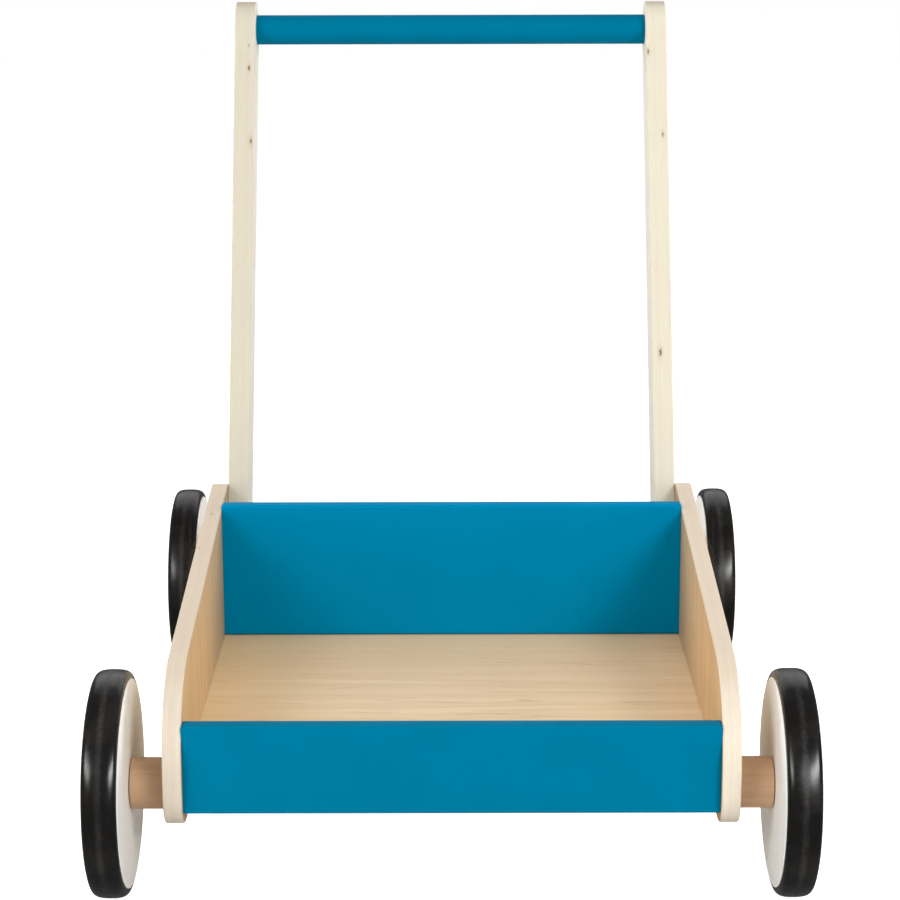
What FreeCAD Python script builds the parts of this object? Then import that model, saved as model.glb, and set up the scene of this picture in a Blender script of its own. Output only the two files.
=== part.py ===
import FreeCAD, Part
import math
import os
import re
import Sketcher

# Baby walker: a plywood tray on four rubber-tyred wheels, with a push handle on two struts.
# Millimetres. +X is the walker's right, +Y runs from its front to the handle, +Z is up.
# The origin lies on the ground, midway between the axles and between the wheels.

SIZES = {
    # Tray
    "inner_width": 280,
    "side_thickness": 10,
    "side_low": 41.5,
    "side_front": -220.5,
    "side_front_top": 119.1,
    "side_peak_y": 75,
    "side_peak_z": 156.7,
    "side_tail_y": 259.7,
    "nose_low_round": 18,
    "nose_top_round": 52,
    "peak_round": 20,
    "tail_round": 18.5,
    "edge_round": 0.8,
    "board_thickness": 10,
    "board_round": 2.5,
    "front_y": -216.5,
    "front_low": 50.5,
    "front_height": 48.3,
    "back_y": 28,
    "back_low": 57,
    "back_height": 96.5,
    "floor_top": 71.4,
    "floor_thickness": 6,
    "groove_depth": 4,
    # Handle
    "strut_thickness": 13,
    "strut_radius": 16.5,
    "strut_low_y": 57.3,
    "strut_low_z": 78,
    "strut_rise": 350.6,
    "strut_reach": 153.6,
    "strut_top": 1.7,
    "bolt_gap": 54.6,
    "bar_radius": 9.5,
    # Running gear
    "wheelbase": 391,
    "wheel_radius": 60,
    "disc_radius": 55,
    "disc_thickness": 19,
    "disc_face": 169.2,
    "tyre_width": 18,
    "tyre_round": 4.6,
    "rod_radius": 4,
    "rod_end": 191.4,
    "running_gap": 0.05,
    "bush_radius": 6,
    "spacer_radius": 13.6,
    "spacer_end": 168.7,
    "seat_radius": 9.5,
    "seat_face": 167.9,
    "washer_radius": 9,
    "washer_thickness": 1,
    "side_play": 0.3,
    "cap_radius": 8,
    "cap_height": 4,
    "cap_wall": 2,
    "cap_round": 3.4,
    # Fasteners
    "hole_gap": 0.1,
    "screw_radius": 1.85,
    "screw_head": 4.25,
    "screw_length": 35,
    "screw_tip": 3,
    "front_screw_low": 61,
    "front_screw_high": 90,
    "back_screw_low": 84,
    "back_screw_high": 138,
    "bar_screw_radius": 2.2,
    "bar_screw_head": 5,
    "bar_screw_sink": 3,
    "bar_screw_length": 40,
    "bolt_radius": 2.5,
    "bolt_head": 4.75,
    "bolt_head_height": 2.8,
    "bolt_head_round": 2,
    "bolt_length": 27.5,
    "bolt_washer": 5.5,
    "nut_flat": 8,
    "nut_height": 3.6,
    "nut_dome": 3.7,
    "nut_length": 6.2,
    "nut_round": 2.4,
    "nut_depth": 5,
    "socket_flat": 3,
    "socket_depth": 1.8,
}

# From a strut's lower bolt to the bar, along the strut
SIZES["strut_length"] = round(math.hypot(SIZES["strut_rise"], SIZES["strut_reach"]), 3)

ON_AXIS = 1e-6
SIDES = {"left": -1, "right": 1}
ENDS = {"front": -1, "rear": 1}

# Places along Y and Z, as expressions of the sizes
SCREW_PLACES = {
    "front": [("front_y + board_thickness / 2", "front_screw_low"),
              ("front_y + board_thickness / 2", "front_screw_high")],
    "back": [("back_y + board_thickness / 2", "back_screw_low"),
             ("back_y + board_thickness / 2", "back_screw_high")],
}
BOLT_SHARE = "bolt_gap / strut_length"
BOLT_PLACES = [("strut_low_y", "strut_low_z"),
               (f"strut_low_y + strut_reach * {BOLT_SHARE}", f"strut_low_z + strut_rise * {BOLT_SHARE}")]
BAR_PLACE = ("strut_low_y + strut_reach", "strut_low_z + strut_rise")

X_AXIS = FreeCAD.Vector(1, 0, 0)
Z_AXIS = FreeCAD.Vector(0, 0, 1)

doc = FreeCAD.newDocument("BabyWalker")
sheet = doc.addObject("Spreadsheet::Sheet", "Sizes")
for row, (alias, size) in enumerate(SIZES.items(), start=1):
    sheet.set(f"A{row}", alias)
    sheet.set(f"B{row}", str(size))
    sheet.setAlias(f"B{row}", alias)
doc.recompute()

sub_parts = {}


def bound(text):
    """The expression with every alias in it pointing at the sheet."""
    return re.sub("[a-z][a-z_]*", "Sizes.\\g<0>", text)


def value(text):
    """What an expression of the sheet's aliases comes to now."""
    return float(sheet.evalExpression(bound(text)))


# Sketches

def new_body(label):
    """An empty body, which is the sub-part of that name."""
    body = doc.addObject("PartDesign::Body", label)
    sub_parts[label] = body
    return body


def new_sketch(body, role, lift="0"):
    """A sketch on one of the body's own origin planes, lifted along the plane's normal."""
    plane = next(item for item in body.Origin.OriginFeatures if item.Role == role)
    sketch = body.newObject("Sketcher::SketchObject", "Sketch")
    sketch.AttachmentSupport = [(plane, "")]
    sketch.MapMode = "FlatFace"
    sketch.setExpression("AttachmentOffset.Base.z", bound(lift))
    return sketch


def hold(sketch, element, point, across, up):
    """Keeps a sketch point at its distances from the sketch's origin."""
    for kind, axis, text in (("DistanceX", -2, across), ("DistanceY", -1, up)):
        distance = value(text)
        if abs(distance) < ON_AXIS:
            sketch.addConstraint(Sketcher.Constraint("PointOnObject", element, point, axis))
            continue
        number = sketch.addConstraint(Sketcher.Constraint(kind, -1, 1, element, point, distance))
        sketch.setExpression(f"Constraints[{number}]", bound(text))


def set_radius(sketch, element, radius):
    number = sketch.addConstraint(Sketcher.Constraint("Radius", element, value(radius)))
    sketch.setExpression(f"Constraints[{number}]", bound(radius))


def outline(sketch, corners):
    """A closed outline of straight lines through corners given as expressions."""
    spots = [FreeCAD.Vector(value(across), value(up), 0) for across, up in corners]
    following = spots[1:] + spots[:1]
    for start, end in zip(spots, following):
        sketch.addGeometry(Part.LineSegment(start, end), False)
    for index in range(len(spots)):
        after = (index + 1) % len(spots)
        sketch.addConstraint(Sketcher.Constraint("Coincident", index, 2, after, 1))
    for index, (across, up) in enumerate(corners):
        hold(sketch, index, 1, across, up)


def circles(sketch, centres, radius):
    """Circles of one radius round centres given as expressions."""
    for across, up in centres:
        centre = FreeCAD.Vector(value(across), value(up), 0)
        element = sketch.addGeometry(Part.Circle(centre, Z_AXIS, value(radius)), False)
        hold(sketch, element, 3, across, up)
        set_radius(sketch, element, radius)


def slot_outline(sketch, length, radius):
    """A strip with two round ends; the first is centred on the sketch's origin."""
    span = value(length)
    half = value(radius)
    low = FreeCAD.Vector(0, 0, 0)
    high = FreeCAD.Vector(0, span, 0)
    sketch.addGeometry(Part.ArcOfCircle(Part.Circle(low, Z_AXIS, half), math.pi, 2 * math.pi), False)
    sketch.addGeometry(Part.LineSegment(FreeCAD.Vector(half, 0, 0), FreeCAD.Vector(half, span, 0)), False)
    sketch.addGeometry(Part.ArcOfCircle(Part.Circle(high, Z_AXIS, half), 0, math.pi), False)
    sketch.addGeometry(Part.LineSegment(FreeCAD.Vector(-half, span, 0), FreeCAD.Vector(-half, 0, 0)), False)
    for index in range(4):
        sketch.addConstraint(Sketcher.Constraint("Tangent", index, 2, (index + 1) % 4, 1))
    sketch.addConstraint(Sketcher.Constraint("Vertical", 1))
    hold(sketch, 0, 3, "0", "0")
    hold(sketch, 2, 3, "0", length)
    set_radius(sketch, 0, radius)


def hexagon(sketch, flat):
    """A regular hexagon round the sketch's origin, measured across its flats."""
    corner = value(flat) / math.sqrt(3)
    spots = []
    for step in range(6):
        angle = math.radians(60 * step)
        spots.append(FreeCAD.Vector(corner * math.cos(angle), corner * math.sin(angle), 0))
    for index in range(6):
        sketch.addGeometry(Part.LineSegment(spots[index], spots[(index + 1) % 6]), False)
    for index in range(6):
        after = (index + 1) % 6
        sketch.addConstraint(Sketcher.Constraint("Coincident", index, 2, after, 1))


# Features

def finish_feature(body, feature):
    """Makes the feature the body's last one and stops if it fails."""
    body.Tip = feature
    doc.recompute()
    if "Invalid" in feature.State or "Error" in feature.State:
        raise RuntimeError(f"{body.Label}: {feature.Name} failed")


def pad(body, sketch, length, toward=1, symmetric=False):
    """Adds the sketch's area, along its normal or against it."""
    feature = body.newObject("PartDesign::Pad", "Pad")
    feature.Profile = sketch
    feature.setExpression("Length", bound(length))
    feature.SideType = "Symmetric" if symmetric else "One side"
    feature.Reversed = toward < 0
    finish_feature(body, feature)


def pocket(body, sketch, depth, toward):
    """Cuts the sketch's area, along its normal or against it."""
    before = body.Shape.Volume
    feature = body.newObject("PartDesign::Pocket", "Pocket")
    feature.Profile = sketch
    feature.setExpression("Length", bound(depth))
    feature.Reversed = toward > 0
    finish_feature(body, feature)
    if body.Shape.Volume > before - ON_AXIS:
        raise RuntimeError(f"{body.Label}: a pocket cuts nothing")


def countersink(body, sketch, toward):
    """Drills countersunk screw holes from the sketch's plane through the body."""
    before = body.Shape.Volume
    feature = body.newObject("PartDesign::Hole", "Hole")
    feature.Profile = sketch
    doc.recompute()
    feature.Reversed = toward > 0
    feature.DepthType = "ThroughAll"
    feature.setExpression("Diameter", bound("2 * screw_radius + 2 * hole_gap"))
    feature.HoleCutType = "Countersink"
    feature.HoleCutCustomValues = True
    feature.HoleCutCountersinkAngle = 90
    feature.setExpression("HoleCutDiameter", bound("2 * screw_head + 2 * hole_gap"))
    finish_feature(body, feature)
    if body.Shape.Volume > before - ON_AXIS:
        raise RuntimeError(f"{body.Label}: a hole cuts nothing")


def fillet(body, names, radius):
    """Rounds the named edges of the body as it stands."""
    base = body.Tip
    feature = body.newObject("PartDesign::Fillet", "Fillet")
    feature.Base = (base, names)
    feature.setExpression("Radius", bound(radius))
    finish_feature(body, feature)


def round_through(body, points, radius):
    """Rounds the edges that pass through points given in the body's own frame."""
    names = []
    for point in points:
        probe = Part.Vertex(FreeCAD.Vector(*[value(text) for text in point]))
        for number, edge in enumerate(body.Tip.Shape.Edges, start=1):
            if edge.distToShape(probe)[0] < 1e-4:
                names.append(f"Edge{number}")
    fillet(body, names, radius)


def round_rims(body, faces, radius):
    """Rounds every edge that lies in one of two faces across X."""
    names = []
    for number, edge in enumerate(body.Tip.Shape.Edges, start=1):
        box = edge.BoundBox
        for text in faces:
            if abs(box.XMin - value(text)) < 1e-4 and abs(box.XMax - value(text)) < 1e-4:
                names.append(f"Edge{number}")
    fillet(body, names, radius)


def place(part, x, y, z, axis=Z_AXIS, angle=0):
    """Turns a part about its own origin and puts that origin at a place of the walker."""
    part.Placement = FreeCAD.Placement(FreeCAD.Vector(), FreeCAD.Rotation(axis, angle))
    for letter, text in zip("xyz", (x, y, z)):
        part.setExpression(f"Placement.Base.{letter}", bound(text))


def turned(label, corners):
    """A turned piece: a profile of (length, radius) corners spun about the body's X axis."""
    body = new_body(label)
    sketch = new_sketch(body, "XY_Plane")
    outline(sketch, corners)
    feature = body.newObject("PartDesign::Revolution", "Revolution")
    feature.Profile = sketch
    feature.ReferenceAxis = (sketch, ["H_Axis"])
    feature.Angle = 360
    finish_feature(body, feature)
    return body


def ring(label, length, bore, rim):
    return turned(label, [("0", bore), ("0", rim), (length, rim), (length, bore)])


def round_turned(body, circles_at, radius):
    """Rounds the circular edges of a turned piece at (length, radius) places."""
    points = [(length, "0", rim) for length, rim in circles_at]
    round_through(body, points, radius)


def group(label, members):
    """One sub-part of several alike solids."""
    compound = doc.addObject("Part::Compound", label)
    compound.Links = members
    for member in members:
        del sub_parts[member.Label]
    sub_parts[label] = compound


# Tray

def side_panel(name, side):
    body = new_body(f"side_panel_{name}")
    sketch = new_sketch(body, "YZ_Plane")
    corners = [("side_front", "side_low"), ("side_tail_y", "side_low"),
               ("side_peak_y", "side_peak_z"), ("side_front", "side_front_top")]
    outline(sketch, corners)
    pad(body, sketch, "side_thickness", side)
    middle = f"{side} * side_thickness / 2"
    rounds = ["nose_low_round", "tail_round", "peak_round", "nose_top_round"]
    for (across, up), radius in zip(corners, rounds):
        round_through(body, [(middle, across, up)], radius)
    round_rims(body, ("0", f"{side} * side_thickness"), "edge_round")

    groove = new_sketch(body, "YZ_Plane")
    start = "front_y + board_thickness - groove_depth"
    stop = "back_y + groove_depth"
    under = "floor_top - floor_thickness"
    outline(groove, [(start, under), (stop, under), (stop, "floor_top"), (start, "floor_top")])
    pocket(body, groove, "groove_depth", side)

    bores = new_sketch(body, "YZ_Plane")
    centres = [(f"{end} * wheelbase / 2", "wheel_radius") for end in ENDS.values()]
    circles(bores, centres, "rod_radius + hole_gap")
    pocket(body, bores, "side_thickness", side)

    bolts = new_sketch(body, "YZ_Plane")
    circles(bolts, BOLT_PLACES, "bolt_radius + hole_gap")
    pocket(body, bolts, "side_thickness", side)

    screws = new_sketch(body, "YZ_Plane", f"{side} * side_thickness")
    circles(screws, SCREW_PLACES["front"] + SCREW_PLACES["back"], "screw_radius")
    countersink(body, screws, -side)
    place(body, f"{side} * inner_width / 2", "0", "0")


def board(label, low, corners, rounded, pilots):
    """A board between the sides, drawn in section, with pilot holes in both of its ends."""
    body = new_body(label)
    sketch = new_sketch(body, "YZ_Plane")
    outline(sketch, corners)
    pad(body, sketch, "inner_width", symmetric=True)
    round_through(body, [("0", across, up) for across, up in rounded], "board_round")
    for side in SIDES.values():
        holes = new_sketch(body, "YZ_Plane", f"{side} * inner_width / 2")
        circles(holes, [("board_thickness / 2", f"{up} - {low}") for up in pilots], "screw_radius + hole_gap")
        pocket(body, holes, "screw_length - side_thickness + hole_gap", -side)
    return body


def front_panel():
    under = "floor_top - floor_thickness - front_low"
    over = "floor_top - front_low"
    depth = "board_thickness - groove_depth"
    corners = [("0", "0"), ("board_thickness", "0"), ("board_thickness", under), (depth, under),
               (depth, over), ("board_thickness", over), ("board_thickness", "front_height"),
               ("0", "front_height")]
    rounded = [("0", "front_height"), ("board_thickness", "front_height"), ("0", "0")]
    body = board("front_panel", "front_low", corners, rounded, ("front_screw_low", "front_screw_high"))
    place(body, "0", "front_y", "front_low")


def back_panel():
    under = "floor_top - floor_thickness - back_low"
    over = "floor_top - back_low"
    corners = [("0", "0"), ("board_thickness", "0"), ("board_thickness", "back_height"),
               ("0", "back_height"), ("0", over), ("groove_depth", over), ("groove_depth", under),
               ("0", under)]
    rounded = [("0", "back_height"), ("board_thickness", "back_height")]
    body = board("back_panel", "back_low", corners, rounded, ("back_screw_low", "back_screw_high"))
    place(body, "0", "back_y", "back_low")


def floor_panel():
    """The floor's four edges lie in grooves of the panels round it."""
    body = new_body("floor_panel")
    sketch = new_sketch(body, "XY_Plane")
    half = "inner_width / 2 + groove_depth"
    start = "front_y + board_thickness - groove_depth"
    stop = "back_y + groove_depth"
    outline(sketch, [(f"0 - ({half})", start), (half, start), (half, stop), (f"0 - ({half})", stop)])
    pad(body, sketch, "floor_thickness")
    place(body, "0", "0", "floor_top - floor_thickness")


# Handle

def strut(name, side, lean):
    """A flat strut: bolted through its side panel below, screwed to the bar at its top."""
    body = new_body(f"strut_{name}")
    sketch = new_sketch(body, "YZ_Plane")
    slot_outline(sketch, "strut_length + strut_top", "strut_radius")
    pad(body, sketch, "strut_thickness", -side)
    round_rims(body, ("0", f"0 - {side} * strut_thickness"), "edge_round")
    bolts = new_sketch(body, "YZ_Plane")
    circles(bolts, [("0", "0"), ("0", "bolt_gap")], "bolt_radius + hole_gap")
    pocket(body, bolts, "strut_thickness", -side)
    screw = new_sketch(body, "YZ_Plane")
    circles(screw, [("0", "strut_length")], "bar_screw_radius + hole_gap")
    pocket(body, screw, "strut_thickness", -side)
    sink = new_sketch(body, "YZ_Plane")
    circles(sink, [("0", "strut_length")], "bar_screw_head + 2 * hole_gap")
    pocket(body, sink, "bar_screw_sink", -side)
    place(body, f"{side} * inner_width / 2", "strut_low_y", "strut_low_z", X_AXIS, -lean)


def handle_bar():
    body = new_body("handle_bar")
    sketch = new_sketch(body, "YZ_Plane")
    circles(sketch, [("0", "0")], "bar_radius")
    pad(body, sketch, "inner_width - 2 * strut_thickness", symmetric=True)
    for side in SIDES.values():
        pilot = new_sketch(body, "YZ_Plane", f"{side} * (inner_width / 2 - strut_thickness)")
        circles(pilot, [("0", "0")], "bar_screw_radius + hole_gap")
        pocket(body, pilot, "bar_screw_length - strut_thickness + bar_screw_sink", -side)
    place(body, "0", *BAR_PLACE)


# Fasteners. Each points along its own +X, into the wood, from its head's outer or bearing face.

def socket(body, toward, lift="0"):
    """A hexagon socket in a screw's head."""
    sketch = new_sketch(body, "YZ_Plane", lift)
    hexagon(sketch, "socket_flat")
    pocket(body, sketch, "socket_depth", toward)


def countersunk_screw(label):
    cone = "screw_head - screw_radius"
    body = turned(label, [("0", "0"), ("0", "screw_head"), (cone, "screw_radius"),
                          ("screw_length - screw_tip", "screw_radius"), ("screw_length", "0")])
    socket(body, 1)
    return body


def bar_screw(label):
    body = turned(label, [("0", "0"), ("0", "bar_screw_head"), ("bar_screw_sink", "bar_screw_head"),
                          ("bar_screw_sink", "bar_screw_radius"),
                          ("bar_screw_length - screw_tip", "bar_screw_radius"), ("bar_screw_length", "0")])
    socket(body, 1)
    return body


def bolt(label):
    body = turned(label, [("0", "0"), ("0", "bolt_head"), ("bolt_head_height", "bolt_head"),
                          ("bolt_head_height", "bolt_radius"),
                          ("bolt_head_height + bolt_length", "bolt_radius"),
                          ("bolt_head_height + bolt_length", "0")])
    round_turned(body, [("0", "bolt_head")], "bolt_head_round")
    socket(body, 1)
    return body


def bolt_washer(label):
    return ring(label, "washer_thickness", "bolt_radius + hole_gap", "bolt_washer")


def cap_nut(label):
    body = new_body(label)
    flats = new_sketch(body, "YZ_Plane")
    hexagon(flats, "nut_flat")
    pad(body, flats, "nut_height")
    dome = new_sketch(body, "YZ_Plane")
    circles(dome, [("0", "0")], "nut_dome")
    pad(body, dome, "nut_length")
    round_turned(body, [("nut_length", "nut_dome")], "nut_round")
    thread = new_sketch(body, "YZ_Plane")
    circles(thread, [("0", "0")], "bolt_radius + hole_gap")
    pocket(body, thread, "nut_depth", 1)
    return body


def repeat(label, make, places):
    """Alike fasteners at several places, as one sub-part of separate solids."""
    members = []
    for number, (x, y, z, angle) in enumerate(places, start=1):
        member = make(f"{label}_{number}")
        place(member, x, y, z, Z_AXIS, angle)
        members.append(member)
    group(label, members)


def both_sides(x, spots):
    """Every spot on the left and on the right, with the angle that points its fastener inwards."""
    places = []
    for side in SIDES.values():
        angle = 180 if side > 0 else 0
        for across, up in spots:
            places.append((f"{side} * ({x})", across, up, angle))
    return places


def fasteners():
    outside = "inner_width / 2 + side_thickness"
    inside = "inner_width / 2 - strut_thickness"
    for board_name, spots in SCREW_PLACES.items():
        repeat(f"{board_name}_panel_screws", countersunk_screw, both_sides(outside, spots))
    repeat("handle_screws", bar_screw, both_sides("inner_width / 2", [BAR_PLACE]))
    repeat("strut_bolts", bolt, both_sides(f"{outside} + bolt_head_height", BOLT_PLACES))
    repeat("strut_bolt_washers", bolt_washer, both_sides(inside, BOLT_PLACES))
    repeat("strut_cap_nuts", cap_nut, both_sides(f"{inside} - washer_thickness", BOLT_PLACES))


# Running gear. Each piece is drawn for the right side, from its inner face outwards.

def axle_rod(name, end):
    body = new_body(f"axle_rod_{name}")
    sketch = new_sketch(body, "YZ_Plane")
    circles(sketch, [("0", "0")], "rod_radius")
    pad(body, sketch, "2 * rod_end", symmetric=True)
    place(body, "0", f"{end} * wheelbase / 2", "wheel_radius")


def spacer(label):
    seat = "seat_face - inner_width / 2 - side_thickness"
    length = "spacer_end - inner_width / 2 - side_thickness"
    body = turned(label, [("0", "rod_radius + hole_gap"), ("0", "spacer_radius"), (length, "spacer_radius"),
                          (length, "seat_radius"), (seat, "seat_radius"), (seat, "rod_radius + hole_gap")])
    round_turned(body, [(length, "spacer_radius")], "edge_round")
    return body


def wheel_disc(label):
    body = ring(label, "disc_thickness", "bush_radius", "disc_radius")
    round_turned(body, [("0", "disc_radius"), ("disc_thickness", "disc_radius")], "edge_round")
    return body


def tyre(label):
    body = ring(label, "tyre_width", "disc_radius", "wheel_radius")
    round_turned(body, [("0", "wheel_radius"), ("tyre_width", "wheel_radius")], "tyre_round")
    return body


def bush(label):
    return ring(label, "disc_thickness", "rod_radius + running_gap", "bush_radius")


def washer(label):
    return ring(label, "washer_thickness", "rod_radius + hole_gap", "washer_radius")


def axle_cap(label):
    body = turned(label, [("0", "rod_radius + hole_gap"), ("0", "cap_radius"), ("cap_height", "cap_radius"),
                          ("cap_height", "0"), ("cap_wall", "0"), ("cap_wall", "rod_radius + hole_gap")])
    round_turned(body, [("cap_height", "cap_radius")], "cap_round")
    return body


def running_gear():
    outer_washer = "disc_face + disc_thickness + side_play"
    stack = {
        "axle_spacer": (spacer, "inner_width / 2 + side_thickness"),
        "inner_washer": (washer, "seat_face"),
        "wheel_disc": (wheel_disc, "disc_face"),
        "wheel_tyre": (tyre, "disc_face + (disc_thickness - tyre_width) / 2"),
        "wheel_bush": (bush, "disc_face"),
        "outer_washer": (washer, outer_washer),
        "axle_cap": (axle_cap, f"{outer_washer} + washer_thickness"),
    }
    for end_name, end in ENDS.items():
        axle_rod(end_name, end)
        for side_name, side in SIDES.items():
            for piece, (make, start) in stack.items():
                body = make(f"{piece}_{end_name}_{side_name}")
                angle = 0 if side > 0 else 180
                place(body, f"{side} * ({start})", f"{end} * wheelbase / 2", "wheel_radius", Z_AXIS, angle)


for side_name, side in SIDES.items():
    side_panel(side_name, side)
    strut(side_name, side, math.degrees(math.atan2(SIZES["strut_reach"], SIZES["strut_rise"])))
front_panel()
back_panel()
floor_panel()
handle_bar()
running_gear()
fasteners()
doc.recompute()

for item in doc.Objects:
    if "Invalid" in item.State or "Error" in item.State:
        raise RuntimeError(f"{item.Label} failed: {item.State}")
for label, part in sub_parts.items():
    if part.Shape.isNull() or not part.Shape.isValid() or not part.Shape.Solids:
        raise RuntimeError(f"{label} has no sound shape")

os.makedirs("parts", exist_ok=True)
for label, part in sub_parts.items():
    part.Label = label
    part.Shape.exportStep(f"parts/{label}.step")
    print(label, len(part.Shape.Solids), round(part.Shape.Volume, 1))
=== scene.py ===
"""Looks of the baby walker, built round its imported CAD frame.

Lengths are metres, or mm where a name or a comment says so.
"""
import math

import bmesh
import bpy
from mathutils import Matrix, Vector


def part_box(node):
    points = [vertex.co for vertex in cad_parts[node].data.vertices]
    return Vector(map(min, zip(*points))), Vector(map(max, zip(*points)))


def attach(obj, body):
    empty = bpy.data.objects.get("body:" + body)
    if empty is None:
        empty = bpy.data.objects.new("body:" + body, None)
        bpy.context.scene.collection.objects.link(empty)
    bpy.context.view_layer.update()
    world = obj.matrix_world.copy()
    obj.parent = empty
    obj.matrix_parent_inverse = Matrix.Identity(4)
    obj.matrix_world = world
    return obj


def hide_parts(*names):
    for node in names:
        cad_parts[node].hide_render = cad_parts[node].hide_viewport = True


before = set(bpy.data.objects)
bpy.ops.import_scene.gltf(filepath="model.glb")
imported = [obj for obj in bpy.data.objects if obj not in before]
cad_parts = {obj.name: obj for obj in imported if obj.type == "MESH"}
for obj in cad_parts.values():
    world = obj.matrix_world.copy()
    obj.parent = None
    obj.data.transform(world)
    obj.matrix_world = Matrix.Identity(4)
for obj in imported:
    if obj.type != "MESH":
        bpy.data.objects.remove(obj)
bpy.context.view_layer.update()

MM = 0.001
SIDES = {"left": -1, "right": 1}
ENDS = ("front", "rear")
CORNERS = [(end, side) for end in ENDS for side in SIDES]
METAL_WORDS = ("rod", "washer", "cap", "screws", "bolts")

# Linear colours, as the sockets take them
FLOOR_LIGHT = (0.95, 0.755, 0.515)
FLOOR_MID = (0.83, 0.61, 0.370)
# Painted light and shade on the floor: warmer towards the back board, darker and yellower at the left side
FLOOR_REAR_PAINTED_WARMTH = (0.95, 0.63, 0.33)
FLOOR_LEFT_PAINTED_SHADOW = (0.76, 0.55, 0.28)
# The sides' inner faces are darker and oranger than their outer ones, partly their veneer and partly
# painted shade and bounced light
INNER_LIGHT = (0.70, 0.467, 0.238)
INNER_MID = (0.58, 0.362, 0.172)
# Painted shade that the sides' inner faces take towards the rear
INNER_REAR_SHADE = (0.46, 0.34, 0.205)
OUTER_LIGHT = (0.72, 0.60, 0.44)
OUTER_MID = (0.63, 0.50, 0.345)
# The struts' inner faces are painted lighter than their outer ones: painted light
STRUT_LIGHT = (0.95, 0.90, 0.81)
STRUT_MID = (0.91, 0.85, 0.75)
STRUT_OUTER_LIGHT = (0.79, 0.70, 0.55)
STRUT_OUTER_MID = (0.71, 0.60, 0.44)
FLECK_BROWN = (0.50, 0.32, 0.17)
SIDE_EDGE_CREAM = (0.87, 0.79, 0.655)
SIDE_EDGE_TAN = (0.79, 0.67, 0.505)
SIDE_TOP = (0.66, 0.53, 0.40)
STRUT_EDGE_CREAM = (0.83, 0.79, 0.635)
STRUT_EDGE_TAN = (0.75, 0.68, 0.515)
SIDE_BLUSH = (0.76, 0.63, 0.52)
STRUT_BLUSH = (0.78, 0.69, 0.57)
EDGE_GLUE = (0.56, 0.43, 0.30)
END_GRAIN = (0.52, 0.43, 0.34)
KNOT_BROWN = (0.15, 0.08, 0.04)
PAINT_BLUE = (0.0, 0.171, 0.301)
PAINT_DEEP = (0.0, 0.155, 0.276)
# The back board's blues are painted lighter than the front board's: painted light
BACK_BLUE_PAINTED_LIGHT = (0.0, 0.228, 0.440)
BACK_DEEP_PAINTED_LIGHT = (0.0, 0.206, 0.404)
# Painted shadow in the back board's joint with the floor
JOINT_PAINTED_SHADOW = (0.0, 0.025, 0.040)
PAINT_SHEEN = (0.02, 0.80, 1.0)
DISC_PALE = (0.91, 0.89, 0.85)
# The right-hand discs' inner faces are painted lighter than the left-hand ones: painted light
DISC_PAINTED_BRIGHT = (0.97, 0.95, 0.92)
DISC_WARM = (0.84, 0.79, 0.71)
# The discs' outer faces are painted deeper than their inner ones: painted shade
DISC_OUTER_SHADED = (0.74, 0.69, 0.60)
DOWEL_LIGHT = (0.58, 0.375, 0.228)
DOWEL_DARK = (0.47, 0.285, 0.160)
RUBBER_BLACK = (0.0055, 0.0048, 0.0045)
RUBBER_GREY = (0.0125, 0.0115, 0.0105)
RUBBER_DUST = (0.066, 0.060, 0.051)
STEEL_LIGHT = (0.74, 0.74, 0.73)
STEEL_DARK = (0.55, 0.55, 0.55)
NYLON_WHITE = (0.78, 0.77, 0.73)
NYLON_GREY = (0.66, 0.65, 0.61)
# Painted shadow along the floor's seams with the sides and the back board
SEAM_PAINTED_SHADOW = (0.24, 0.15, 0.07)
FLOOR_WHITE = (0.84, 0.84, 0.84)

# Roundings of a painted board's long and short edges, and of the turned pieces' rims
TOP_ROUND = 2.0 * MM
LOW_ROUND = 1.4 * MM
END_ROUND = 0.35 * MM
DISC_ROUND = 0.7 * MM
SPACER_ROUND = 0.3 * MM
BAR_ROUND = 0.5 * MM
# A painted board's corners seen from the front, in mm, and how much tighter they are round its faces
BOARD_CORNER = 1.3
BOARD_CORNER_TIGHTER = 0.9
# A painted board's flat face starts just inside its roundings, as a multiple of them
BOARD_FACE_INSET = 1.04
# The tyre's outline is a superellipse of this power, and it reaches this far inside the disc's edge
TYRE_POWER = 3.0
TYRE_UNDER = 1.5 * MM
ROD_GAP = 0.1 * MM
WASHER_GAP = 0.5 * MM
BAR_BORE = 2.3 * MM
WHEEL_TURNS = 192
ROD_TURNS = 96
# How far behind the back board's front face its joint with the floor may take a painted shadow, in mm
JOINT_DEPTH = 1

# Where the sheets lie across X, in mm, and their tones; an edge facing up past "top" takes the top tone,
# and the sides' inner faces take a painted shade towards the rear
PLIES = {
    "side_panel": {"start": 140, "thickness": 10, "sheets": 7,
                   "inner": (INNER_LIGHT, INNER_MID), "outer": (OUTER_LIGHT, OUTER_MID),
                   "edge": (SIDE_EDGE_CREAM, SIDE_EDGE_TAN), "blush": SIDE_BLUSH,
                   "rear_shade_tone": INNER_REAR_SHADE, "rear_shade_share": 0.75,
                   "top": 0.70, "top_tone": SIDE_TOP, "top_share": 0.42},
    "strut": {"start": 127, "thickness": 13, "sheets": 9,
              "inner": (STRUT_LIGHT, STRUT_MID), "outer": (STRUT_OUTER_LIGHT, STRUT_OUTER_MID),
              "edge": (STRUT_EDGE_CREAM, STRUT_EDGE_TAN), "blush": STRUT_BLUSH,
              "top": 0.78, "top_tone": END_GRAIN, "top_share": 0.60},
}
# Painted light and shade on each side: how light the plywood's edges and the spacers are, and the discs'
# inner faces; the left-hand edges are painted darker and the right-hand spacers and discs lighter
SHADES = {"side_panel_left": 0.84, "side_panel_right": 0.93, "strut_left": 0.82, "strut_right": 0.93}
DOWEL_SHADES = {"left": 1.0, "right": 1.2}
DISC_PAINTED_LIGHTS = {"left": DISC_PALE, "right": DISC_PAINTED_BRIGHT}
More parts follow.
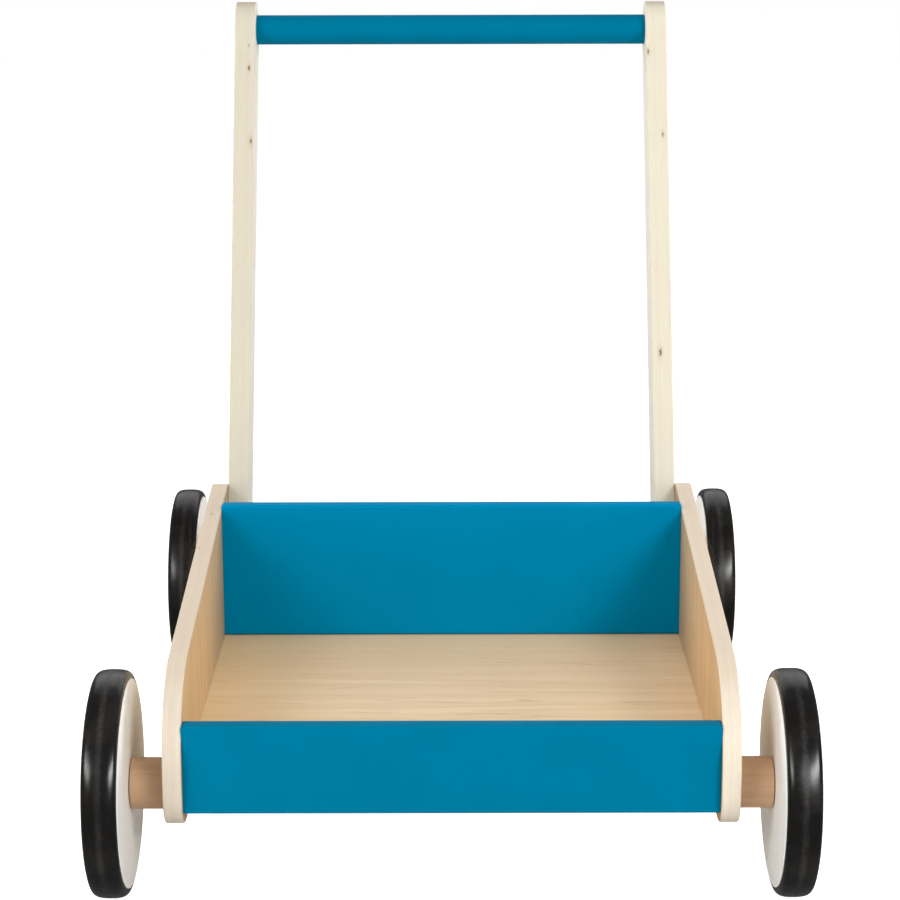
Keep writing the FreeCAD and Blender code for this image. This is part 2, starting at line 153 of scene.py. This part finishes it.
# Small knots in the edges: place and size in mm, and strength
MARKS = {
    "strut_left": [((-130.5, 183, 406), 1.9, 1.0), ((-130.7, 189, 420), 1.2, 0.5),
                   ((-128.6, 163, 361), 2.2, 1.0)],
    "strut_right": [((128, 187, 416), 1.9, 0.95), ((136.6, 165, 364), 1.8, 0.8),
                    ((132.5, 107, 233), 2.3, 1.0)],
    "side_panel_left": [((-145.6, 22, 150), 1.9, 1.0), ((-146, 36, 152), 1.3, 0.6),
                        ((-146.3, 44, 153), 1.2, 0.6), ((-148, -31, 143), 1.7, 0.7)],
}

# The room is white to the camera and lights the walker only this much; the floor's glow is for
# the camera alone
ROOM_LIGHT = 0.15
FLOOR_GLOW = 0.92
FLOOR_REACH = 6.0

# Place, size and power of each light, all aimed at one point; the shine lights show only in reflections,
# and the others never do
AIM = (0, 0, 0.15)
LIGHTS = {
    "left": ((-1.25, -1.35, 1.15), (1.0, 1.0), 16.8),
    "right": ((1.05, -1.55, 1.15), (0.75, 0.75), 21.5),
    "top": ((0.0, -0.3, 2.0), (1.4, 1.4), 6.8),
    "rear": ((0.0, 1.6, 1.2), (1.4, 1.0), 5),
    "low_left": ((-0.95, -1.2, 0.12), (0.6, 0.2), 2.6),
    "low_right": ((0.95, -1.2, 0.12), (0.6, 0.2), 1.3),
    "beside_left": ((-1.3, 0.35, 0.55), (0.6, 0.6), 10),
    "beside_right": ((1.3, 0.35, 0.55), (0.6, 0.6), 10),
    "shine_left": ((-1.15, -1.12, 0.78), (1.0, 0.40), 13),
    "shine_right": ((1.04, -1.31, 0.78), (1.35, 0.40), 29),
    "shine_back": ((0.0, 1.5, 1.1), (2.0, 1.2), 6.5),
}

CAMERA_PLACE = (0.0007, -1.4079, 0.5237)
LENS_MM = 97.4
SENSOR_MM = 36
# The camera's tilt below level, its turn to the left and its roll, in degrees
TILT_DOWN = 13.16
TURN = 0.06
ROLL = -0.13


class Graph:
    """One material and short ways to add nodes to it."""

    def __init__(self, name, roughness, specular=0.5, metallic=0.0):
        self.material = bpy.data.materials.new(name)
        self.material.use_nodes = True
        self.tree = self.material.node_tree
        self.tree.nodes.clear()
        output = self.add("ShaderNodeOutputMaterial")
        self.shader = self.add("ShaderNodeBsdfPrincipled")
        self.tree.links.new(self.shader.outputs["BSDF"], output.inputs["Surface"])
        self.shader.inputs["Roughness"].default_value = roughness
        self.shader.inputs["Specular IOR Level"].default_value = specular
        self.shader.inputs["Metallic"].default_value = metallic
        place = self.add("ShaderNodeTexCoord").outputs["Object"]
        self.spot = self.vector("MULTIPLY", place, (1000, 1000, 1000))

    def add(self, kind, **settings):
        node = self.tree.nodes.new(kind)
        for key, setting in settings.items():
            setattr(node, key, setting)
        return node

    def feed(self, socket, source):
        """Links an output, or sets a plain value."""
        if isinstance(source, bpy.types.NodeSocket):
            self.tree.links.new(source, socket)
        elif isinstance(source, tuple) and len(socket.default_value) == 4:
            socket.default_value = (*source, 1.0)
        else:
            socket.default_value = source

    def vector(self, operation, first, second):
        node = self.add("ShaderNodeVectorMath", operation=operation)
        self.feed(node.inputs[0], first)
        self.feed(node.inputs[1], second)
        return node.outputs["Value" if operation == "DISTANCE" else "Vector"]

    def math(self, operation, *values):
        node = self.add("ShaderNodeMath", operation=operation)
        for socket, source in zip(node.inputs, values):
            self.feed(socket, source)
        return node.outputs["Value"]

    def span(self, value, low, high, to_low=0.0, to_high=1.0):
        """Smoothly maps low..high to to_low..to_high and holds the ends."""
        node = self.add("ShaderNodeMapRange", interpolation_type="SMOOTHSTEP")
        for socket, source in zip(node.inputs, (value, low, high, to_low, to_high)):
            self.feed(socket, source)
        return node.outputs["Result"]

    def noise(self, vector, scale, detail=2.0, roughness=0.5, distortion=0.0):
        node = self.add("ShaderNodeTexNoise")
        self.feed(node.inputs["Vector"], vector)
        for key, number in (("Scale", scale), ("Detail", detail), ("Roughness", roughness),
                            ("Distortion", distortion)):
            node.inputs[key].default_value = number
        return node.outputs["Fac"]

    def random(self, number):
        """A value from 0 to 1 that is fixed for each whole number."""
        node = self.add("ShaderNodeTexWhiteNoise", noise_dimensions="1D")
        self.feed(node.inputs["W"], number)
        return node.outputs["Value"]

    def mix(self, amount, first, second):
        """A colour between two others."""
        node = self.add("ShaderNodeMix", data_type="RGBA")
        self.feed(node.inputs[0], amount)
        self.feed(node.inputs[6], first)
        self.feed(node.inputs[7], second)
        return node.outputs[2]

    def between(self, amount, first, second):
        """A number between two others."""
        node = self.add("ShaderNodeMix", data_type="FLOAT")
        self.feed(node.inputs[0], amount)
        self.feed(node.inputs[2], first)
        self.feed(node.inputs[3], second)
        return node.outputs[0]

    def axis(self, letter):
        node = self.add("ShaderNodeSeparateXYZ")
        self.feed(node.inputs[0], self.spot)
        return node.outputs[letter]

    def paint(self, colour, roughness=None, height=None, depth=0.1):
        """Sets the shader's colour, and its roughness and bump (depth in mm) where they vary."""
        self.feed(self.shader.inputs["Base Color"], colour)
        if roughness is not None:
            self.feed(self.shader.inputs["Roughness"], roughness)
        if height is not None:
            bump = self.add("ShaderNodeBump")
            bump.inputs["Distance"].default_value = depth * MM
            bump.inputs["Strength"].default_value = 1.0
            self.feed(bump.inputs["Height"], height)
            self.feed(self.shader.inputs["Normal"], bump.outputs["Normal"])
        return self.material


# Materials

def shaded(colour, shade):
    return tuple(share * shade for share in colour)


def drawn_out(graph, vector, along, share):
    """The place in mm, scaled down along one axis so that a pattern runs long there."""
    return graph.vector("MULTIPLY", vector, tuple(share if letter == along else 1 for letter in "XYZ"))


def grain(graph, along, seed, lines=7.0):
    """Wood grain running along one axis: (broad figure, fine fibre), both 0 to 1."""
    shifted = graph.vector("ADD", graph.spot, (seed * 37.0, seed * 53.0, seed * 71.0))
    run = drawn_out(graph, shifted, along, 0.035)
    bands = graph.noise(run, 0.04, detail=2.0, roughness=0.45, distortion=0.8)
    rings = graph.math("FRACT", graph.math("MULTIPLY", bands, lines))
    figure = graph.math("MULTIPLY", graph.span(rings, 0.0, 0.75), graph.span(rings, 0.80, 1.0, 1.0, 0.0))
    fibre = graph.noise(run, 1.9, detail=4.0, roughness=0.65)
    return figure, fibre


def veneer_colour(graph, along, seed, light, mid, lines=5.0):
    """Birch veneer: soft growth bands, fine fibres, thin dark lines and short dark flecks."""
    figure, fibre = grain(graph, along, seed, lines)
    broad = graph.noise(graph.spot, 0.012, detail=2.0)
    tone = graph.math("MULTIPLY_ADD", figure, 0.55, graph.math("MULTIPLY", broad, 0.45))
    colour = graph.mix(tone, light, mid)
    colour = graph.mix(graph.span(fibre, 0.45, 0.75, 0.0, 0.28), colour, mid)
    flecks = graph.noise(drawn_out(graph, graph.spot, along, 0.10), 1.1, detail=1.0)
    contour = graph.noise(drawn_out(graph, graph.spot, along, 0.05), 0.10, detail=2.0, distortion=0.6)
    off_line = graph.math("ABSOLUTE", graph.math("SUBTRACT", contour, 0.5))
    faded = graph.span(broad, 0.40, 0.60, 0.10, 0.38)
    line = graph.math("MULTIPLY", graph.span(off_line, 0.0, 0.024, 1.0, 0.0), faded)
    colour = graph.mix(line, colour, FLECK_BROWN)
    colour = graph.mix(graph.span(flecks, 0.70, 0.80, 0.0, 0.45), colour, FLECK_BROWN)
    return colour, graph.math("ADD", fibre, graph.math("MULTIPLY", figure, 0.3))


def plies_colour(graph, ply, shade, marks):
    """The edge of plywood whose sheets are stacked along X, with knots at a few places."""
    x = graph.math("ABSOLUTE", graph.axis("X"))
    waver = graph.noise(graph.vector("MULTIPLY", graph.spot, (1, 0.25, 0.25)), 0.10, detail=2.0)
    depth = graph.math("ADD", graph.math("SUBTRACT", x, ply["start"]), graph.math("MULTIPLY", waver, 0.6))
    stack = graph.math("DIVIDE", depth, ply["thickness"] / ply["sheets"])
    sheet = graph.math("FLOOR", stack)
    within = graph.math("SUBTRACT", stack, sheet)
    crossed = graph.math("MODULO", graph.math("ABSOLUTE", sheet), 2.0)
    tint = graph.random(sheet)
    blush = graph.random(graph.math("ADD", sheet, 7.5))
    streaks = graph.noise(graph.vector("MULTIPLY", graph.spot, (1, 0.05, 0.05)), 2.0, detail=3.0)
    pores = graph.noise(graph.vector("MULTIPLY", graph.spot, (1, 0.6, 0.6)), 2.6, detail=2.0)
    picked = graph.between(crossed, graph.span(streaks, 0.35, 0.75, 0.0, 0.5),
                           graph.span(pores, 0.35, 0.75, 0.15, 0.65))
    tone = graph.math("MULTIPLY_ADD", tint, 0.30, picked)
    # Painted shade: the edge tones are scaled by the side's shade, darker on the left
    cream, tan, blush_tone = [shaded(colour, shade) for colour in (*ply["edge"], ply["blush"])]
    colour = graph.mix(tone, cream, tan)
    patches = graph.noise(graph.spot, 0.03, detail=2.0)
    pink = graph.math("MULTIPLY", blush, graph.span(patches, 0.35, 0.65, 0.15, 0.75))
    colour = graph.mix(pink, colour, blush_tone)
    from_edge = graph.math("MINIMUM", within, graph.math("SUBTRACT", 1.0, within))
    colour = graph.mix(graph.span(from_edge, 0.0, 0.12, 0.32, 0.0), colour, EDGE_GLUE)
    for place, size_mm, strength in marks:
        offset = graph.vector("MULTIPLY", graph.vector("SUBTRACT", graph.spot, place), (1.7, 1, 0.55))
        away = graph.vector("DISTANCE", offset, (0, 0, 0))
        ragged = graph.math("MULTIPLY_ADD", graph.noise(graph.spot, 0.9, detail=2.0), size_mm, away)
        stain = graph.span(ragged, size_mm * 0.6, size_mm * 2.6, 0.35 * strength, 0.0)
        colour = graph.mix(stain, colour, FLECK_BROWN)
        core = graph.span(ragged, size_mm * 0.6, size_mm * 1.4, strength, 0.0)
        colour = graph.mix(core, colour, KNOT_BROWN)
    return colour, graph.math("SUBTRACT", streaks, graph.span(from_edge, 0.0, 0.10, 0.4, 0.0))


def plywood(name, ply, seed, shade, marks):
    """Plywood lying across X: veneer on its faces, plies on its edges, end grain on top."""
    graph = Graph(name, roughness=0.55, specular=0.35)
    inner, height = veneer_colour(graph, "Z", seed, *ply["inner"])
    # Painted shade: the inner faces darken towards the rear
    if "rear_shade_tone" in ply:
        rear_shading = graph.span(graph.axis("Y"), -120, 20, 0.0, ply["rear_shade_share"])
        inner = graph.mix(rear_shading, inner, ply["rear_shade_tone"])
    outer, _ = veneer_colour(graph, "Z", seed, *ply["outer"])
    # Inner and outer faces differ partly by the painted light and shade on the inner faces
    middle = ply["start"] + ply["thickness"] / 2
    is_outer = graph.math("GREATER_THAN", graph.math("ABSOLUTE", graph.axis("X")), middle)
    face = graph.mix(is_outer, inner, outer)
    edge, edge_height = plies_colour(graph, ply, shade, marks)
    normal = graph.add("ShaderNodeSeparateXYZ")
    graph.feed(normal.inputs[0], graph.add("ShaderNodeTexCoord").outputs["Normal"])
    upward = graph.span(normal.outputs["Z"], ply["top"], ply["top"] + 0.2, 0.0, ply["top_share"])
    edge = graph.mix(upward, edge, ply["top_tone"])
    is_face = graph.span(graph.math("ABSOLUTE", normal.outputs["X"]), 0.80, 0.97)
    relief = graph.between(is_face, edge_height, height)
    rough = graph.span(height, 0.2, 0.9, 0.48, 0.62)
    return graph.paint(graph.mix(is_face, edge, face), rough, relief, 0.06)


def floor_veneer(name, seed):
    """The tray's floor: grain across it, warmer at the back and darker and yellower at the left as painted
    light and shade, with painted shadows along its seams.
    """
    graph = Graph(name, roughness=0.5, specular=0.35)
    colour, height = veneer_colour(graph, "X", seed, FLOOR_LIGHT, FLOOR_MID, 3.0)
    side_low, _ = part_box("side_panel_right")
    back_low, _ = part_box("back_panel")
    past_side = graph.math("SUBTRACT", graph.math("ABSOLUTE", graph.axis("X")), side_low.x / MM)
    past_back = graph.math("SUBTRACT", graph.axis("Y"), back_low.y / MM)
    # Painted shadows along the seams with the sides and the back board
    seam_shadow = graph.math("MAXIMUM", graph.span(past_side, -1.4, -0.2, 0.0, 0.24),
                      graph.span(past_back, -3.2, -0.8, 0.0, 0.55))
    # Painted light and shade: warmer towards the back board, and a darker, yellower painted shadow at the
    # left
    colour = graph.mix(graph.span(past_back, -110, -10, 0.0, 0.45), colour, FLOOR_REAR_PAINTED_WARMTH)
    colour = graph.mix(graph.span(graph.axis("X"), -140, -50, 0.50, 0.0), colour, FLOOR_LEFT_PAINTED_SHADOW)
    colour = graph.mix(seam_shadow, colour, SEAM_PAINTED_SHADOW)
    return graph.paint(colour, graph.span(height, 0.2, 0.9, 0.45, 0.60), height, 0.05)


def blue_paint(name, light=PAINT_BLUE, deep=PAINT_DEEP, joint=None):
    """Satin paint, thin enough for the grain to show, with a painted shadow in a joint at (y before, z
    from) in mm.
    """
    graph = Graph(name, roughness=0.5, specular=0.02)
    graph.shader.inputs["Specular Tint"].default_value = (*PAINT_SHEEN, 1.0)
    _, fibre = grain(graph, "X", 3)
    cloud = graph.noise(graph.spot, 0.02, detail=3.0)
    colour = graph.mix(graph.span(cloud, 0.3, 0.7, 0.0, 0.5), light, deep)
    colour = graph.mix(graph.math("MULTIPLY", fibre, 0.25), colour, deep)
    if joint:
        before, foot = joint
        # Painted shadow along the joint's line
        is_front = graph.math("LESS_THAN", graph.axis("Y"), before)
        over = graph.span(graph.axis("Z"), foot + 0.2, foot + 0.9, 0.8, 0.0)
        shade = graph.math("MULTIPLY", over, graph.span(graph.axis("Z"), foot - 0.6, foot - 0.1))
        colour = graph.mix(graph.math("MULTIPLY", is_front, shade), colour, JOINT_PAINTED_SHADOW)
    peel = graph.noise(graph.spot, 0.9, detail=2.0)
    height = graph.math("ADD", graph.math("MULTIPLY", fibre, 0.7), graph.math("MULTIPLY", peel, 0.5))
    return graph.paint(colour, graph.span(cloud, 0.3, 0.7, 0.42, 0.52), height, 0.03)


def disc_wood(side_name, light):
    """Pale sanded wood with hardly any figure, its outer face painted a little deeper than its inner one as
    painted shade.
    """
    graph = Graph(f"disc_wood_{side_name}", roughness=0.55, specular=0.35)
    low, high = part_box(f"wheel_disc_front_{side_name}")
    middle = abs(low.x + high.x) / 2 / MM
    figure, fibre = grain(graph, "Z", 5)
    tone = graph.math("MULTIPLY_ADD", figure, 0.25, graph.math("MULTIPLY", fibre, 0.35))
    is_outer = graph.math("GREATER_THAN", graph.math("ABSOLUTE", graph.axis("X")), middle)
    colour = graph.mix(is_outer, graph.mix(tone, light, DISC_WARM), graph.mix(tone, DISC_OUTER_SHADED, OUTER_MID))
    return graph.paint(colour, graph.span(fibre, 0.3, 0.7, 0.50, 0.62), fibre, 0.03)


def dowel_wood(name, shade):
    """Plain warm wood with its grain along the axle, its tone scaled by a painted shade that is lighter on
    the right.
    """
    graph = Graph(name, roughness=0.55, specular=0.3)
    figure, fibre = grain(graph, "X", 7)
    tone = graph.math("MULTIPLY_ADD", figure, 0.35, graph.math("MULTIPLY", fibre, 0.6))
    colour = graph.mix(tone, shaded(DOWEL_LIGHT, shade), shaded(DOWEL_DARK, shade))
    return graph.paint(colour, graph.span(fibre, 0.3, 0.7, 0.5, 0.65), fibre, 0.05)


def tyre_rubber(name, middle_mm):
    """Glossy black rubber, with a faint band of dust round the crown."""
    graph = Graph(name, roughness=0.3, specular=0.42)
    cloud = graph.noise(graph.spot, 0.04, detail=4.0, roughness=0.6)
    specks = graph.noise(graph.spot, 1.5, detail=3.0)
    across = graph.math("ABSOLUTE", graph.math("SUBTRACT", graph.axis("X"), middle_mm))
    band = graph.span(across, 0.0, 2.6, 1.0, 0.0)
    dust = graph.math("MULTIPLY", band, graph.span(specks, 0.36, 0.74))
    dust = graph.math("MULTIPLY", dust, graph.span(cloud, 0.30, 0.70, 0.2, 1.0))
    colour = graph.mix(graph.span(cloud, 0.42, 0.72), RUBBER_BLACK, RUBBER_GREY)
    colour = graph.mix(dust, colour, RUBBER_DUST)
    worn = graph.math("MULTIPLY_ADD", band, 0.10, graph.span(cloud, 0.3, 0.7, 0.20, 0.32))
    fine = graph.noise(graph.spot, 1.6, detail=3.0)
    return graph.paint(colour, worn, graph.math("ADD", fine, specks), 0.02)


def steel():
    """Zinc-plated steel with a faint brushed streak."""
    graph = Graph("steel", roughness=0.35, metallic=0.85)
    brushed = graph.noise(graph.vector("MULTIPLY", graph.spot, (4.0, 0.6, 0.6)), 1.2, detail=3.0)
    colour = graph.mix(brushed, STEEL_LIGHT, STEEL_DARK)
    return graph.paint(colour, graph.span(brushed, 0.3, 0.7, 0.25, 0.42), brushed, 0.01)


def nylon():
    graph = Graph("nylon", roughness=0.45)
    cloud = graph.noise(graph.spot, 0.5, detail=2.0)
    colour = graph.mix(cloud, NYLON_WHITE, NYLON_GREY)
    return graph.paint(colour, graph.span(cloud, 0.3, 0.7, 0.4, 0.5), cloud, 0.02)


def dress(node, material):
    """Gives a CAD node its material."""
    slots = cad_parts[node].data.materials
    slots.clear()
    slots.append(material)


# Meshes

def mesh_object(name, form, material, body):
    mesh = bpy.data.meshes.new(name)
    form.to_mesh(mesh)
    form.free()
    piece = bpy.data.objects.new(name, mesh)
    bpy.context.scene.collection.objects.link(piece)
    mesh.materials.append(material)
    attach(piece, body)
    return piece


def bridge(form, near, far):
    """Smooth faces between two closed rings of points."""
    count = len(near)
    for index in range(count):
        after = (index + 1) % count
        form.faces.new((near[index], near[after], far[after], far[index])).smooth = True


def lathe(profile, centre, turns):
    """A closed ring: a profile of (x, radius) points spun about the X-parallel axis through centre."""
    form = bmesh.new()
    rings = []
    for step in range(turns):
        angle = 2 * math.pi * step / turns
        ring = []
        for x, radius in profile:
            y = centre.y + radius * math.cos(angle)
            z = centre.z + radius * math.sin(angle)
            ring.append(form.verts.new((x, y, z)))
        rings.append(ring)
    for step in range(turns):
        bridge(form, rings[step], rings[(step + 1) % turns])
    bmesh.ops.recalc_face_normals(form, faces=form.faces)
    return form


def rounded(corners, radius, steps=4):
    """The profile's corners cut to small arcs, so a smooth-shaded piece keeps crisp edges."""
    points = []
    count = len(corners)
    for index, corner in enumerate(corners):
        here = Vector(corner)
        before = (Vector(corners[index - 1]) - here).normalized()
        after = (Vector(corners[(index + 1) % count]) - here).normalized()
        start = here + before * radius
        end = here + after * radius
        for step in range(steps + 1):
            share = step / steps
            first = start.lerp(here, share)
            second = here.lerp(end, share)
            points.append(tuple(first.lerp(second, share)))
    return points


def wheel_parts(end, side_name, disc_material):
    """The tyre and the wooden disc of one wheel, turned in fine steps."""
    tag = f"{end}_{side_name}"
    low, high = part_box(f"wheel_tyre_{tag}")
    disc_low, disc_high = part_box(f"wheel_disc_{tag}")
    bush_low, bush_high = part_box(f"wheel_bush_{tag}")
    centre = (low + high) / 2
    outer = (high.z - low.z) / 2
    seat = (disc_high.z - disc_low.z) / 2
    half = (high.x - low.x) / 2
    crown = []
    steps = 28
    for step in range(steps + 1):
        across = -math.cos(math.pi * step / steps)
        lift = (1 - abs(across) ** TYRE_POWER) ** (1 / TYRE_POWER)
        crown.append((centre.x + across * half, seat + (outer - seat) * lift))
    crown += [(centre.x + half, seat - TYRE_UNDER), (centre.x - half, seat - TYRE_UNDER)]
    rubber = tyre_rubber(f"tyre_rubber_{tag}", centre.x / MM)
    tyre = mesh_object(f"tyre_{tag}", lathe(crown, centre, WHEEL_TURNS), rubber, f"wheel_{tag}")
    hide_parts(f"wheel_tyre_{tag}")

    bore = (bush_high.z - bush_low.z) / 2
    corners = [(disc_low.x, bore), (disc_low.x, seat), (disc_high.x, seat), (disc_high.x, bore)]
    disc = mesh_object(f"disc_{tag}", lathe(rounded(corners, DISC_ROUND), centre, WHEEL_TURNS),
                       disc_material, f"wheel_{tag}")
    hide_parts(f"wheel_disc_{tag}")


def spacer(end, side_name, material):
    """The wooden spacer between side panel and wheel."""
    tag = f"{end}_{side_name}"
    low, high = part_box(f"axle_spacer_{tag}")
    rod_low, rod_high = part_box(f"axle_rod_{end}")
    centre = (low + high) / 2
    radius = (high.z - low.z) / 2
    bore = (rod_high.z - rod_low.z) / 2 + ROD_GAP
    washer_low, washer_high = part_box(f"inner_washer_{tag}")
    seat = (washer_high.z - washer_low.z) / 2 + WASHER_GAP
    side = SIDES[side_name]
    inner = low.x if side > 0 else high.x
    outer = high.x if side > 0 else low.x
    sunk = washer_low.x if side > 0 else washer_high.x
    corners = [(inner, bore), (inner, radius), (outer, radius), (outer, seat), (sunk, seat), (sunk, bore)]
    piece = mesh_object(f"spacer_{tag}", lathe(rounded(corners, SPACER_ROUND), centre, ROD_TURNS),
                        material, "frame")
    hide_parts(f"axle_spacer_{tag}")


def board_outline(low, high, inset, steps=6):
    """Points round a board as (x, z, depth of the rounding there), drawn in by a share of the roundings."""
    corner = (BOARD_CORNER - BOARD_CORNER_TIGHTER * inset) * MM
    points = []
    for number, (across, up) in enumerate(((1, 1), (-1, 1), (-1, -1), (1, -1))):
        long_round = TOP_ROUND if up > 0 else LOW_ROUND
        centre_x = (high.x if across > 0 else low.x) - across * (corner + END_ROUND * inset)
        centre_z = (high.z if up > 0 else low.z) - up * (corner + long_round * inset)
        for step in range(steps + 1):
            angle = math.radians(90 * (number + step / steps))
            depth = END_ROUND + (long_round - END_ROUND) * math.sin(angle) ** 2
            points.append((centre_x + corner * math.cos(angle), centre_z + corner * math.sin(angle), depth))
    return points


def painted_board(node, material):
    """A painted board between the sides: well rounded above, less below, and nearly square at its ends."""
    low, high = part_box(node)
    turns = 8
    bends = [math.pi / 2 * turn / turns for turn in range(turns + 1)]
    layers = [(BOARD_FACE_INSET, 0.0)] + [(1 - math.sin(bend), 1 - math.cos(bend)) for bend in bends]
    form = bmesh.new()
    rings = []
    for face_y, inward, order in ((low.y, 1, layers), (high.y, -1, layers[::-1])):
        for inset, sunk in order:
            ring = []
            for x, z, depth in board_outline(low, high, inset):
                ring.append(form.verts.new((x, face_y + inward * depth * sunk, z)))
            rings.append(ring)
    for near, far in zip(rings, rings[1:]):
        bridge(form, near, far)
    form.faces.new(rings[0])
    form.faces.new(rings[-1])
    bmesh.ops.recalc_face_normals(form, faces=form.faces)
    piece = mesh_object(f"{node}_board", form, material, "frame")
    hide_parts(node)


def bar(material):
    """The round handle bar, with slightly eased rims and the bore that its end screws sit in."""
    low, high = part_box("handle_bar")
    centre = (low + high) / 2
    radius = (high.z - low.z) / 2
    corners = [(low.x, BAR_BORE), (low.x, radius), (high.x, radius), (high.x, BAR_BORE)]
    piece = mesh_object("bar", lathe(rounded(corners, BAR_ROUND), centre, ROD_TURNS), material, "frame")
    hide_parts("handle_bar")


# Studio

def area_light(name, place, size, power):
    data = bpy.data.lights.new(name, "AREA")
    data.shape = "RECTANGLE"
    data.size, data.size_y = size
    data.energy = power
    lamp = bpy.data.objects.new(name, data)
    bpy.context.scene.collection.objects.link(lamp)
    lamp.location = place
    shines = name.startswith("shine")
    lamp.visible_diffuse = not shines
    lamp.visible_glossy = shines
    direction = Vector(AIM) - lamp.location
    lamp.rotation_euler = direction.to_track_quat("-Z", "Y").to_euler()


def camera():
    """Straight in front of the walker, a little above the bar, tilted down."""
    data = bpy.data.cameras.new("camera")
    data.lens = LENS_MM
    data.sensor_width = SENSOR_MM
    eye = bpy.data.objects.new("camera", data)
    bpy.context.scene.collection.objects.link(eye)
    tilt = Matrix.Rotation(math.radians(90 - TILT_DOWN), 4, "X")
    turn = Matrix.Rotation(math.radians(TURN), 4, "Z")
    roll = Matrix.Rotation(math.radians(ROLL), 4, "Z")
    eye.matrix_world = Matrix.Translation(CAMERA_PLACE) @ turn @ tilt @ roll
    bpy.context.scene.camera = eye


def studio():
    """The white floor and room, and the lights."""
    form = bmesh.new()
    bmesh.ops.create_grid(form, x_segments=1, y_segments=1, size=FLOOR_REACH)
    mesh = bpy.data.meshes.new("studio_floor")
    form.to_mesh(mesh)
    form.free()
    ground = bpy.data.objects.new("studio_floor", mesh)
    bpy.context.scene.collection.objects.link(ground)
    graph = Graph("studio_white", roughness=0.9, specular=0.1)
    mesh.materials.append(graph.paint(FLOOR_WHITE))
    graph.shader.inputs["Emission Color"].default_value = (1, 1, 1, 1)
    seen = graph.add("ShaderNodeLightPath").outputs["Is Camera Ray"]
    graph.feed(graph.shader.inputs["Emission Strength"], graph.math("MULTIPLY", seen, FLOOR_GLOW))
    ground.visible_glossy = False

    world = bpy.data.worlds.new("studio")
    world.use_nodes = True
    tree = world.node_tree
    seen = tree.nodes.new("ShaderNodeLightPath").outputs["Is Camera Ray"]
    level = tree.nodes.new("ShaderNodeMath")
    level.operation = "MULTIPLY_ADD"
    level.inputs[1].default_value = 1.0 - ROOM_LIGHT
    level.inputs[2].default_value = ROOM_LIGHT
    tree.links.new(seen, level.inputs[0])
    background = tree.nodes["Background"]
    background.inputs["Color"].default_value = (1, 1, 1, 1)
    tree.links.new(level.outputs["Value"], background.inputs["Strength"])
    bpy.context.scene.world = world
    bpy.context.scene.view_settings.view_transform = "Standard"
    for name, (place, size, power) in LIGHTS.items():
        area_light(name, place, size, power)


def main():
    for number, side_name in enumerate(SIDES):
        for piece, ply in PLIES.items():
            node = f"{piece}_{side_name}"
            marks = MARKS.get(node, ())
            dress(node, plywood(f"{piece}_ply_{side_name}", ply, number + 1, SHADES[node], marks))
    dress("floor_panel", floor_veneer("floor_veneer", 4))
    paint = blue_paint("blue_paint")
    painted_board("front_panel", paint)
    joint = (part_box("back_panel")[0].y / MM + JOINT_DEPTH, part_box("floor_panel")[1].z / MM)
    # The back board's lighter blue is painted light
    painted_board("back_panel", blue_paint("blue_paint_back", BACK_BLUE_PAINTED_LIGHT, BACK_DEEP_PAINTED_LIGHT, joint))
    bar(paint)
    discs = {side: disc_wood(side, light) for side, light in DISC_PAINTED_LIGHTS.items()}
    dowels = {side: dowel_wood(f"dowel_wood_{side}", shade) for side, shade in DOWEL_SHADES.items()}
    metal = steel()
    plastic = nylon()
    for end, side_name in CORNERS:
        wheel_parts(end, side_name, discs[side_name])
        spacer(end, side_name, dowels[side_name])
        dress(f"wheel_bush_{end}_{side_name}", plastic)
    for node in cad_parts:
        if any(word in node for word in METAL_WORDS):
            dress(node, metal)
    camera()
    studio()


main()
